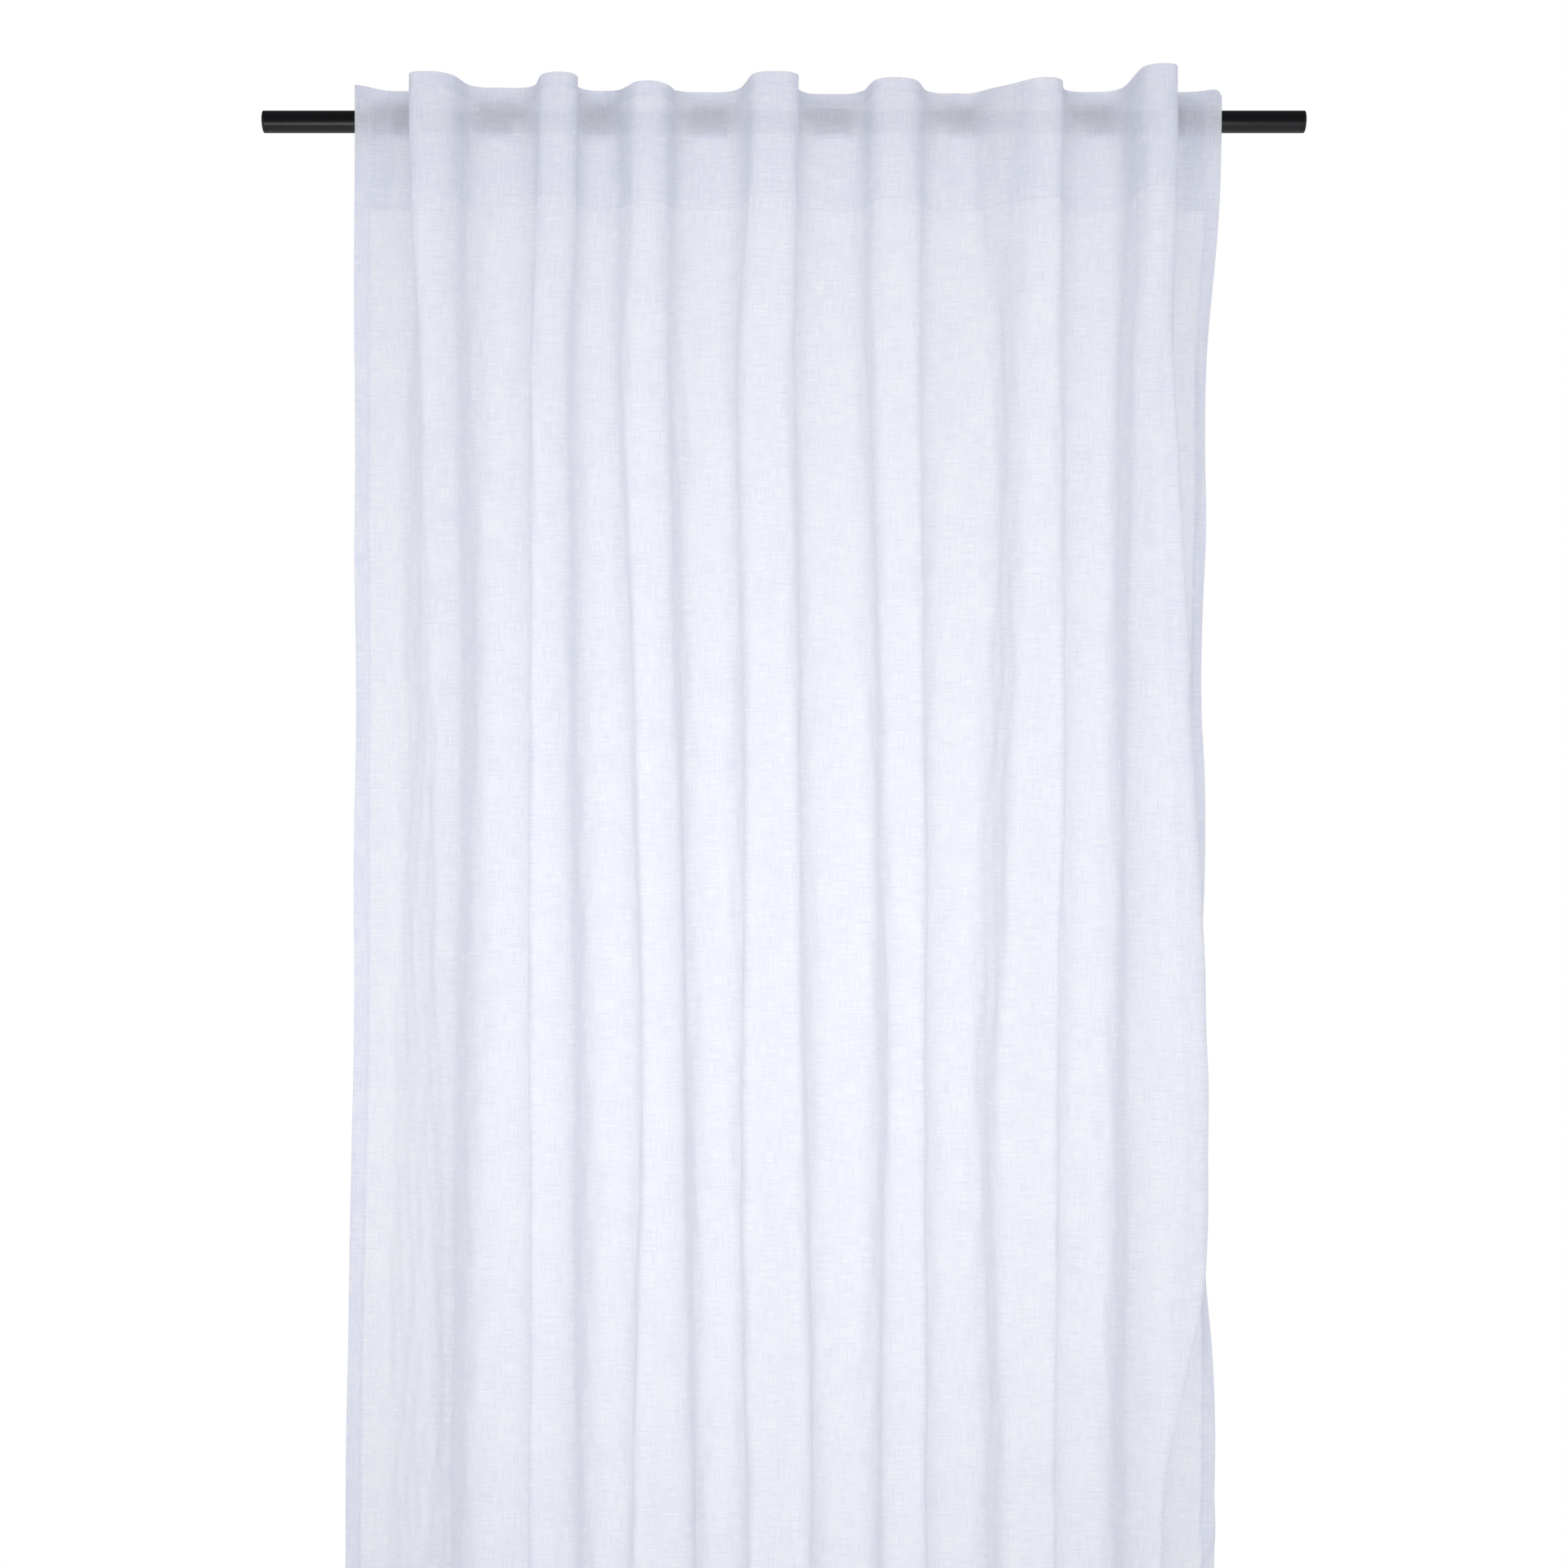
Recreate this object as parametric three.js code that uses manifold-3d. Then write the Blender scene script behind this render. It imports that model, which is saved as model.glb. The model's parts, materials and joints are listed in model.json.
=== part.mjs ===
// One window curtain on its rod: a linen panel that hangs by eight hidden tabs sewn behind its heading,
// on a straight black tube that lies in the open cradles of two wall brackets.
// Millimetres, +Z up, +X to the right along the rod, +Y towards the wall, the room at -Y.
// The origin is the centre of the left bracket's wall plate, on the face that meets the wall.
import * as THREE from 'three';
import { mergeVertices } from 'three/addons/utils/BufferGeometryUtils.js';
import Module from 'manifold-3d';

const wasm = await Module();
wasm.setup();

// ---- sizes: the rod
const rodLength = 960;
const rodRadius = 10;
const rodWall = 1.2;
const plugSpigot = 14;
const plugRim = 2;

// ---- sizes: the curtain panel
const panelWidth = 1320; // hemmed and laid flat, edge to edge: 52 inches
const panelDrop = 2134; // 84 inches
const clothThickness = 0.6;
const sideHemWidth = 15;
const bottomHemHeight = 100;
const headingHeight = 100;
const headingInset = 10; // bare cloth left above the heading tape
const headingThickness = 0.9;
const topAboveRod = 26; // the panel's top edge over the rod's axis

// ---- sizes: how the panel is gathered along the rod
const leftEdge = -394;
const tabGaps = [96, 96, 100, 114, 122, 125, 74];
const waveWidth = 40;
const waveRadius = 8;

// ---- sizes: the hidden tabs
const tabWidth = 34;
const tabThickness = 0.8;
const tabTopSeam = 14; // over the rod's axis
const tabBottomSeam = 21;
const tabSeamFlap = 7;

// ---- sizes: the brackets
const rodToWall = 75;
const bracketInset = 6; // from the panel's edge to the bracket hidden behind its side hem
const cradleWidth = 10;
const cradleWall = 2;
const cradleBackWall = 4;
const cradleFrontLip = 4;
const cradleBackLip = 7;
const screwBoss = 5;
const armWidth = 8;
const armHeight = 10;
const plateWidth = 30;
const plateHeight = 60;
const plateThickness = 3;
const plateCorner = 6;
const screwSpacing = 40;

// ---- sizes: the fasteners
const wallScrewRadius = 2;
const wallScrewHead = 4;
const wallScrewHeadHeight = 2.2;
const wallScrewLength = 30;
const driverSlotWidth = 1;
const driverSlotDepth = 1;
const setScrewRadius = 2;
const setScrewHead = 6;
const setScrewHeadHeight = 5;
const setScrewStem = 3; // bare shank between the boss and the head
const setScrewGrips = 12;

// ---- sizes: the blank care label
const labelWidth = 12;
const labelHeight = 40;
const labelThickness = 0.4;
const labelAboveHem = 60;

// ---- clearances
const restGap = 0.3; // between a piece and what carries it
const layerGap = 0.3; // between sewn layers of cloth
const lipToCloth = 0.6; // between a cradle's front lip and the heading
const tabToCradle = 6; // how far the curtain can shift before its end tab meets the cradle
const threadGap = 0.3;
const pieceGap = 0.3; // between neighbouring lengths of one cloth

// ---- places worked out from the sizes
const cradleInner = rodRadius + restGap;
const cradleOuter = cradleInner + cradleWall;
const backLayer = Math.max(headingThickness, clothThickness);
const backLayerFace = -(cradleOuter + lipToCloth); // rearmost face of the cloth in front of the rod
const backLayerLine = backLayerFace - backLayer / 2;
const clothLine = backLayerFace - backLayer - layerGap - clothThickness / 2;
const edgeToTab = bracketInset + cradleWidth / 2 + tabToCradle + tabWidth / 2;
const top = topAboveRod;
const bottom = topAboveRod - panelDrop;
const tabPlaces = tabGaps.reduce((places, gap) => [...places, places.at(-1) + gap], [leftEdge + edgeToTab]);
const rightEdge = tabPlaces.at(-1) + edgeToTab;
const leftBracket = leftEdge + bracketInset;
const rightBracket = rightEdge - bracketInset;
const clothPerGap = (panelWidth - 2 * edgeToTab) / tabGaps.length;
const armDrop = cradleOuter - armHeight / 2; // the arm's centre under the rod's axis

// ---- materials
const material = (name, color, roughness, metalness) =>
  new THREE.MeshStandardMaterial({ name, color, roughness, metalness });
const blackMetal = material('black_powder_coat', '#19191b', 0.35, 0.3);
const blackPlastic = material('black_plastic', '#161617', 0.5, 0);
const zincSteel = material('zinc_steel', '#9a9a98', 0.4, 0.9);
const linen = material('linen_cloth', '#eef1fc', 0.9, 0);
const tape = material('heading_tape', '#e6e8f2', 0.9, 0);
const satin = material('label_satin', '#f4f4f2', 0.5, 0);

// ---- solids
function toSolid(geometry) {
  const bare = geometry.clone();
  bare.deleteAttribute('normal');
  bare.deleteAttribute('uv');
  const merged = mergeVertices(bare, 1e-4);
  return new wasm.Manifold(new wasm.Mesh({
    numProp: 3,
    vertProperties: new Float32Array(merged.attributes.position.array),
    triVerts: new Uint32Array(merged.index.array),
  }));
}

function cut(geometry, ...tools) {
  const solid = tools.reduce((left, tool) => left.subtract(toSolid(tool)), toSolid(geometry));
  const mesh = solid.getMesh();
  const result = new THREE.BufferGeometry();
  result.setAttribute('position', new THREE.BufferAttribute(mesh.vertProperties, 3));
  result.setIndex(new THREE.BufferAttribute(mesh.triVerts, 1));
  result.computeVertexNormals();
  return result;
}

// A lathe about +Z, from (radius, height) pairs that start and end on the axis or close on themselves.
function turned(profile, segments = 24) {
  const points = profile.map(([radius, height]) => new THREE.Vector2(radius, height));
  return new THREE.LatheGeometry(points, segments).rotateX(Math.PI / 2);
}

// A shape drawn in the (y, z) plane and pushed along +X.
function alongRod(shape, width, curveSegments = 8) {
  const asYZX = new THREE.Matrix4().makeBasis(
    new THREE.Vector3(0, 1, 0), new THREE.Vector3(0, 0, 1), new THREE.Vector3(1, 0, 0));
  return new THREE.ExtrudeGeometry(shape, { depth: width, bevelEnabled: false, curveSegments })
    .translate(0, 0, -width / 2)
    .applyMatrix4(asYZX);
}

function add(parent, name, geometry, look, x = 0, y = 0, z = 0) {
  const mesh = new THREE.Mesh(geometry, look);
  mesh.name = name;
  mesh.position.set(x, y, z);
  parent.add(mesh);
}

// ---- the rod and its end plugs
function makeRod(parent) {
  const bore = rodRadius - rodWall;
  const tubeEnd = rodLength / 2 - plugRim;
  const tube = turned([[rodRadius, -tubeEnd], [rodRadius, tubeEnd], [bore, tubeEnd], [bore, -tubeEnd],
    [rodRadius, -tubeEnd]], 36).rotateY(Math.PI / 2);
  add(parent, 'rod_tube', tube, blackMetal);
  for (const [side, name] of [[-1, 'rod_plug_left'], [1, 'rod_plug_right']]) {
    const spigot = bore - restGap;
    const plug = turned([[0, -plugSpigot], [spigot, -plugSpigot], [spigot, restGap], [rodRadius, restGap],
      [rodRadius, plugRim], [0, plugRim]], 36).rotateY(side * Math.PI / 2);
    add(parent, name, plug, blackPlastic, side * tubeEnd);
  }
}

// ---- the brackets
function makeCradle() {
  const section = new THREE.Shape();
  const bossHalf = setScrewRadius + threadGap + cradleWall;
  const bossStart = Math.PI + Math.acos(bossHalf / cradleOuter);
  section.moveTo(-cradleOuter, cradleFrontLip);
  section.lineTo(-cradleOuter, 0);
  section.absarc(0, 0, cradleOuter, Math.PI, bossStart, false);
  section.lineTo(-bossHalf, -cradleOuter - screwBoss);
  section.lineTo(bossHalf, -cradleOuter - screwBoss);
  section.lineTo(bossHalf, -cradleOuter);
  section.lineTo(cradleInner + cradleBackWall, -cradleOuter);
  section.lineTo(cradleInner + cradleBackWall, cradleBackLip);
  section.lineTo(cradleInner, cradleBackLip);
  section.lineTo(cradleInner, 0);
  section.absarc(0, 0, cradleInner, 0, Math.PI, true);
  section.lineTo(-cradleInner, cradleFrontLip);
  const thread = new THREE.CylinderGeometry(
    setScrewRadius + threadGap, setScrewRadius + threadGap, cradleOuter + screwBoss + 2, 20)
    .rotateX(Math.PI / 2)
    .translate(0, 0, -(cradleOuter + screwBoss + 2) / 2);
  return cut(alongRod(section, cradleWidth, 12), thread);
}

function makeArm() {
  const start = cradleInner + cradleBackWall;
  const length = rodToWall - plateThickness - start;
  const section = new THREE.Shape();
  const [halfWidth, halfHeight, round] = [armWidth / 2, armHeight / 2, 1.5];
  section.moveTo(-halfWidth + round, -halfHeight);
  section.lineTo(halfWidth - round, -halfHeight);
  section.absarc(halfWidth - round, -halfHeight + round, round, -Math.PI / 2, 0, false);
  section.lineTo(halfWidth, halfHeight - round);
  section.absarc(halfWidth - round, halfHeight - round, round, 0, Math.PI / 2, false);
  section.lineTo(-halfWidth + round, halfHeight);
  section.absarc(-halfWidth + round, halfHeight - round, round, Math.PI / 2, Math.PI, false);
  section.lineTo(-halfWidth, -halfHeight + round);
  section.absarc(-halfWidth + round, -halfHeight + round, round, Math.PI, 1.5 * Math.PI, false);
  return new THREE.ExtrudeGeometry(section, { depth: length, bevelEnabled: false, curveSegments: 3 })
    .rotateX(Math.PI / 2)
    .translate(0, start + length, -armDrop);
}

function makePlate() {
  const section = new THREE.Shape();
  const [halfWidth, halfHeight] = [plateWidth / 2, plateHeight / 2];
  section.moveTo(-halfWidth + plateCorner, -halfHeight);
  section.lineTo(halfWidth - plateCorner, -halfHeight);
  section.absarc(halfWidth - plateCorner, -halfHeight + plateCorner, plateCorner, -Math.PI / 2, 0, false);
  section.lineTo(halfWidth, halfHeight - plateCorner);
  section.absarc(halfWidth - plateCorner, halfHeight - plateCorner, plateCorner, 0, Math.PI / 2, false);
  section.lineTo(-halfWidth + plateCorner, halfHeight);
  section.absarc(-halfWidth + plateCorner, halfHeight - plateCorner, plateCorner, Math.PI / 2, Math.PI, false);
  section.lineTo(-halfWidth, -halfHeight + plateCorner);
  section.absarc(-halfWidth + plateCorner, -halfHeight + plateCorner, plateCorner, Math.PI, 1.5 * Math.PI, false);
  const plate = new THREE.ExtrudeGeometry(section, { depth: plateThickness, bevelEnabled: false, curveSegments: 5 })
    .rotateX(Math.PI / 2);
  const holes = [-1, 1].map((side) => wallScrewTool(threadGap).translate(0, -plateThickness, side * screwSpacing / 2));
  return cut(plate, ...holes).translate(0, rodToWall, -armDrop);
}

// A countersunk wood screw along +Y with its head's face at the plate's front, grown by a margin.
function wallScrewTool(margin) {
  const head = wallScrewHead + margin;
  const shank = wallScrewRadius + margin;
  const neck = wallScrewHeadHeight + margin;
  const profile = [[0, -1], [head, -1], [head, 0], [shank, neck], [shank, plateThickness + 1], [0, plateThickness + 1]];
  return turned(profile).rotateX(-Math.PI / 2);
}

function makeWallScrew() {
  const tip = wallScrewRadius * 1.5;
  const screw = turned([[0, 0], [wallScrewHead, 0], [wallScrewRadius, wallScrewHeadHeight],
    [wallScrewRadius, wallScrewLength - tip], [0, wallScrewLength]]).rotateX(-Math.PI / 2);
  const slot = new THREE.BoxGeometry(2.2 * wallScrewHead, 2 * driverSlotDepth, driverSlotWidth);
  return cut(screw, slot).translate(0, rodToWall - plateThickness, -armDrop);
}

// The thumb screw under a cradle. Its tip stops one rest gap under the rod, and its grip has scalloped edges.
function makeSetScrew() {
  const tip = -rodRadius - 2 * restGap;
  const headTop = -cradleOuter - screwBoss - setScrewStem;
  const headBottom = headTop - setScrewHeadHeight;
  const screw = turned([[0, headBottom], [setScrewHead, headBottom], [setScrewHead, headTop],
    [setScrewRadius, headTop], [setScrewRadius, tip - 0.5], [setScrewRadius - 0.5, tip], [0, tip]]);
  const grips = Array.from({ length: setScrewGrips }, (_, i) => {
    const angle = (i / setScrewGrips) * 2 * Math.PI;
    return new THREE.CylinderGeometry(0.8, 0.8, setScrewHeadHeight + 2, 8)
      .rotateX(Math.PI / 2)
      .translate(setScrewHead * Math.cos(angle), setScrewHead * Math.sin(angle), (headTop + headBottom) / 2);
  });
  return cut(screw, ...grips);
}

function makeBracket(parent, side, x) {
  add(parent, `wall_plate_${side}`, makePlate(), blackMetal, x);
  add(parent, `bracket_arm_${side}`, makeArm(), blackMetal, x);
  add(parent, `rod_cradle_${side}`, makeCradle(), blackMetal, x);
  add(parent, `set_screw_${side}`, makeSetScrew(), blackMetal, x);
  add(parent, `wall_screw_${side}_upper`, makeWallScrew(), zincSteel, x, 0, screwSpacing / 2);
  add(parent, `wall_screw_${side}_lower`, makeWallScrew(), zincSteel, x, 0, -screwSpacing / 2);
}

// ---- the cloth
// How far a wave stands forward, so that the cloth between two tabs keeps its cut length. Each of its four
// round corners is shorter than a square one by 2 r - (pi / 2) r.
function waveDepth(gap) {
  const savedByCorners = 4 * (2 - Math.PI / 2) * waveRadius;
  return (clothPerGap - gap + savedByCorners) / 2;
}

// The wave between two tabs in plan, seen from above, on the line that lies `back` behind the face cloth.
function wavePoints(from, to, back) {
  const middle = (from + to) / 2;
  const depth = waveDepth(to - from);
  const [left, right] = [middle - waveWidth / 2 + back, middle + waveWidth / 2 - back];
  const [flat, front] = [clothLine + back, clothLine + back - depth];
  const [foot, crest] = [waveRadius + back, waveRadius - back];
  const path = new THREE.Path();
  path.moveTo(from + pieceGap / 2, flat);
  path.lineTo(left - foot, flat);
  path.absarc(left - foot, flat - foot, foot, Math.PI / 2, 0, true);
  path.absarc(left + crest, front + crest, crest, Math.PI, 1.5 * Math.PI, false);
  path.absarc(right - crest, front + crest, crest, -Math.PI / 2, 0, false);
  path.absarc(right + foot, flat - foot, foot, Math.PI, Math.PI / 2, true);
  path.lineTo(to - pieceGap / 2, flat);
  return path.getPoints(4);
}

function flatPoints(from, to, back) {
  return [new THREE.Vector2(from, clothLine + back), new THREE.Vector2(to, clothLine + back)];
}

// A length of cloth: the points of its front face and of its back face in plan, pushed up from low to high.
function clothLength(pointsAt, line, thickness, low, high) {
  const back = line - clothLine;
  const outline = [...pointsAt(back - thickness / 2), ...pointsAt(back + thickness / 2).reverse()];
  return new THREE.ExtrudeGeometry(new THREE.Shape(outline), { depth: high - low, bevelEnabled: false })
    .translate(0, 0, low);
}

// The three layers of one length of the curtain: face cloth, heading tape and turned-up bottom hem.
function makeLayers(parent, name, pointsAt, innerPointsAt = pointsAt) {
  const tapeTop = top - headingInset;
  add(parent, `panel_${name}`, clothLength(pointsAt, clothLine, clothThickness, bottom, top), linen);
  add(parent, `heading_${name}`,
    clothLength(innerPointsAt, backLayerLine, headingThickness, tapeTop - headingHeight, tapeTop), tape);
  add(parent, `hem_${name}`,
    clothLength(innerPointsAt, backLayerLine, clothThickness, bottom, bottom + bottomHemHeight), linen);
}

function makeEdge(parent, side, outer, tab) {
  const inward = Math.sign(tab - outer);
  const hemInner = outer + inward * sideHemWidth;
  const span = (a, b) => (back) => flatPoints(Math.min(a, b), Math.max(a, b), back);
  const seam = tab - inward * pieceGap / 2;
  makeLayers(parent, `edge_${side}`, span(outer, seam), span(hemInner + inward * pieceGap, seam));
  add(parent, `side_hem_${side}`, clothLength(span(outer, hemInner), backLayerLine, clothThickness, bottom, top), linen);
}

// A tab: a strip sewn to the heading above and below the rod, which passes behind it and rests on it.
function makeTab() {
  const sewn = backLayerFace + layerGap;
  const reach = rodRadius + restGap;
  const strip = (inset) => {
    const radius = reach + inset;
    const path = new THREE.Path();
    path.moveTo(sewn + inset, tabTopSeam + tabSeamFlap);
    path.lineTo(sewn + inset, tabTopSeam + inset);
    path.absarc(0, 0, radius, Math.PI * 0.55, -Math.PI * 0.4, true);
    path.lineTo(sewn + inset, -tabBottomSeam + tabSeamFlap - inset);
    path.lineTo(sewn + inset, -tabBottomSeam - 1);
    return path.getPoints(10);
  };
  const outline = [...strip(0), ...strip(tabThickness).reverse()];
  return alongRod(new THREE.Shape(outline), tabWidth);
}

function makeCurtain(parent) {
  makeEdge(parent, 'left', leftEdge, tabPlaces[0]);
  makeEdge(parent, 'right', rightEdge, tabPlaces.at(-1));
  tabGaps.forEach((_, i) => {
    const pointsAt = (back) => wavePoints(tabPlaces[i], tabPlaces[i + 1], back);
    makeLayers(parent, `wave_${i + 1}`, pointsAt);
  });
  tabPlaces.forEach((x, i) => add(parent, `back_tab_${i + 1}`, makeTab(), tape, x));
  const labelPlace = leftEdge + sideHemWidth / 2;
  const label = new THREE.BoxGeometry(labelWidth, labelThickness, labelHeight);
  add(parent, 'care_label', label, satin, labelPlace,
    backLayerLine + clothThickness / 2 + layerGap + labelThickness / 2,
    bottom + bottomHemHeight + labelAboveHem);
}

const curtain = new THREE.Group();
curtain.position.set(-leftBracket, -rodToWall, armDrop);
makeRod(curtain);
makeBracket(curtain, 'left', leftBracket);
makeBracket(curtain, 'right', rightBracket);
makeCurtain(curtain);

export default curtain;
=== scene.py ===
"""One window curtain on its rod: a slub linen panel with hidden back tabs, its coated rod and its brackets.

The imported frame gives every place. The cloth is shaped from what a sewer and a hanger would know: how wide
the panel is, where each tab sits on the rod, where each wave's two walls hang, and how far those walls turn.
The depth of a wave follows from the cloth that is left over between its two tabs.
"""

import functools
import json
import math
from typing import NamedTuple

import bmesh
import bpy
import numpy as np
from bpy.props import FloatProperty, IntProperty, PointerProperty, StringProperty
from bpy.types import Operator, Panel, PropertyGroup
from mathutils import Matrix, Vector

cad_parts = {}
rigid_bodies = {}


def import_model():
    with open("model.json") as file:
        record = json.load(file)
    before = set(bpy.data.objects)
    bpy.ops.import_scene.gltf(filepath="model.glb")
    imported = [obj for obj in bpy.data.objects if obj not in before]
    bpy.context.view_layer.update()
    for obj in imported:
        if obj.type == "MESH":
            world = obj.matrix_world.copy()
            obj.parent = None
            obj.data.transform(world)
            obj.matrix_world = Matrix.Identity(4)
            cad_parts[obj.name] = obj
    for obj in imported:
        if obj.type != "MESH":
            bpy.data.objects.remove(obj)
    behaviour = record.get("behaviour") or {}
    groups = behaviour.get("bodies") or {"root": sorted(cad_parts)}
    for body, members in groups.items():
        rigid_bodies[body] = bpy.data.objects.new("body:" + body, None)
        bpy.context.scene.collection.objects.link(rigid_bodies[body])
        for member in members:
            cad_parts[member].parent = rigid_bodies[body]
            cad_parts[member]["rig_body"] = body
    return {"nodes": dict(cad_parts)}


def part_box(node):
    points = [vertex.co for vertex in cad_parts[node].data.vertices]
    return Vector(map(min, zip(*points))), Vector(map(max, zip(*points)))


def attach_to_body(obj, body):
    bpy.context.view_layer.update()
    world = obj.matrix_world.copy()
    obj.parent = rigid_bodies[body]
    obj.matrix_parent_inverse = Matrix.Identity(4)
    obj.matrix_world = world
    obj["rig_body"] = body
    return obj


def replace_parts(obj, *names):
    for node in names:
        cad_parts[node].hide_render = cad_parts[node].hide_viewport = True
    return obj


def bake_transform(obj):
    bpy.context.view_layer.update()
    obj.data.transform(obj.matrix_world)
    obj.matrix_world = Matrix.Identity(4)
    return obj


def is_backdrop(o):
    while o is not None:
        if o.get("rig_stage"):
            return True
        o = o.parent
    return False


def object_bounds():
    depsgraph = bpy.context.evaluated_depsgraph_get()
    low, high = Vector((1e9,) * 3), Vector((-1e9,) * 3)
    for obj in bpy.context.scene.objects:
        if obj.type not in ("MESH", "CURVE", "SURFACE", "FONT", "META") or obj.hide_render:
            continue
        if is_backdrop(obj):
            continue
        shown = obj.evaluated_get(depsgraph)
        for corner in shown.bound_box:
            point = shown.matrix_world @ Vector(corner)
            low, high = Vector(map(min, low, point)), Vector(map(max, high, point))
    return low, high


bl_info = {
    "name": "Back-tab curtain",
    "version": (1, 0, 0),
    "blender": (4, 5, 0),
    "location": "View3D > Sidebar > Curtain",
    "description": "Dresses the packed curtain frame in linen, tape, thread and powder-coated steel",
    "category": "Object",
}

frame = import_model()
FRAME_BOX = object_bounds()

MM = 0.001


def middle(node):
    """The centre of a CAD node's box."""
    low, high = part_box(node)
    return (low + high) / 2


def span(node, axis):
    """A CAD node's lowest and highest coordinate along an axis."""
    low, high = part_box(node)
    return low[axis], high[axis]


def extent(node, axis):
    """How far a CAD node reaches along an axis."""
    low, high = span(node, axis)
    return high - low


# ---- places from the frame; cloth is measured in millimetres from ROD, the middle of the rod's axis
ROD = middle("rod_tube")
ROD_RADIUS = extent("rod_tube", 2) / 2
TABS = [f"tab_{k}" for k in range(1, 9)]
TAB_X = [(middle(f"back_tab_{k}").x - ROD.x) / MM for k in range(1, 9)]
TAB_WIDTH = extent("back_tab_1", 0) / MM
TAB_TOP, TAB_FOOT = [(z - ROD.z) / MM for z in reversed(span("back_tab_1", 2))]
TAB_FRONT = (span("back_tab_1", 1)[0] - ROD.y) / MM
LEFT_X = (span("panel_edge_left", 0)[0] - ROD.x) / MM
CLOTH_Y = (middle("panel_edge_left").y - ROD.y) / MM
BOTTOM, TOP = [(z - ROD.z) / MM for z in span("panel_edge_left", 2)]
DROP = TOP - BOTTOM
TAPE_TOP = TOP - (span("heading_edge_left", 2)[1] - ROD.z) / MM
TAPE_FOOT = TOP - (span("heading_edge_left", 2)[0] - ROD.z) / MM
SIDE_HEM = extent("side_hem_left", 0) / MM
BOTTOM_HEM = extent("hem_edge_left", 2) / MM
EDGE = TAB_X[0] - LEFT_X  # cloth from the panel's side to the middle of its first tab

# ---- sizes that the frame leaves open, of the rod in metres
TUBE_WALL = 1.2 * MM
TUBE_LIP = 0.25 * MM  # broken edge of tube ends and plug rims
PLUG_RIM = 2.0 * MM  # the plug's flange outside the tube
PLUG_PLAY = 0.3 * MM  # between the spigot and the tube's bore
PLUG_RING = 0.15 * MM  # depth of the ring moulded into a plug's face
PLUG_LEAD = (1.5 * MM, 0.8 * MM)  # length and height of the taper that leads the spigot in

# ---- and of the sewing and the sheets, in millimetres
TAB_THICKNESS = 0.8
TAB_PLAY = 0.3  # between a tab and the rod
TAB_FLAP = 7  # each end of a tab that is sewn down
TAPE_END = 18  # the heading tape's raw ends are turned under this far
TAPE_BEHIND = 1.05  # from the cloth's face to the tape
SEAM_INSET = 2.5  # from the edge of a tape or of a side hem to the seam along it
LABEL_BEHIND = 0.9  # from the cloth's face to the label's sewn end
LABEL_THICKNESS = 0.3
ACROSS = 1.9  # most between a sheet's points along the cloth
DOWN_HEADING, DOWN_PANEL = 3, 9  # and down it, above HEADING_END and below
HEADING_END = 123


class CurtainCloth(PropertyGroup):
    panel_width: FloatProperty(
        name="Panel width", description="Hemmed width of the panel laid flat", default=1.32, unit="LENGTH")
    turned_top: FloatProperty(
        name="Turned top", description="Cloth turned down behind the top edge", default=0.012, unit="LENGTH")
    layer_gap: FloatProperty(
        name="Layer gap", description="Between two sewn layers of cloth", default=0.0005, unit="LENGTH")
    thick_yarn: StringProperty(
        name="Thick yarn", description="Colour of the slubs, sRGB hex", default="#fdfdff")
    thin_yarn: StringProperty(
        name="Thin yarn", description="Colour of the ground, sRGB hex", default="#f1f2fa")


class CurtainRod(PropertyGroup):
    coat: StringProperty(
        name="Powder coat", description="Colour of rod and brackets, sRGB hex", default="#0f0f11")
    edge_round: FloatProperty(
        name="Edge round", description="Radius broken on the brackets' edges", default=0.0006, unit="LENGTH")
    turns: IntProperty(name="Turns", description="Sides of the rod's round section", default=96, min=24)


class CurtainSewing(PropertyGroup):
    stitch: FloatProperty(
        name="Stitch length", description="From one needle hole to the next", default=0.0033, unit="LENGTH")
    thread: FloatProperty(
        name="Thread width", description="Diameter of the sewing thread", default=0.0007, unit="LENGTH")


# ---- how the panel hangs, at LEVELS in millimetres below its top edge; x is in millimetres from ROD
LEVELS = (0, 110, 240, 560, 900, 1060, 1260, 2134)


class Wave(NamedTuple):
    """One wave between two tabs: the x of its walls, and the degrees each turns out from the flats."""

    left: tuple
    right: tuple
    left_turn: tuple
    right_turn: tuple
    rise: float  # millimetres that its crest's top edge stands over the flats' edge
    heading_round: tuple  # radius at the foot of its left and right walls, at the heading
    hanging_round: tuple  # and lower down


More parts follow.
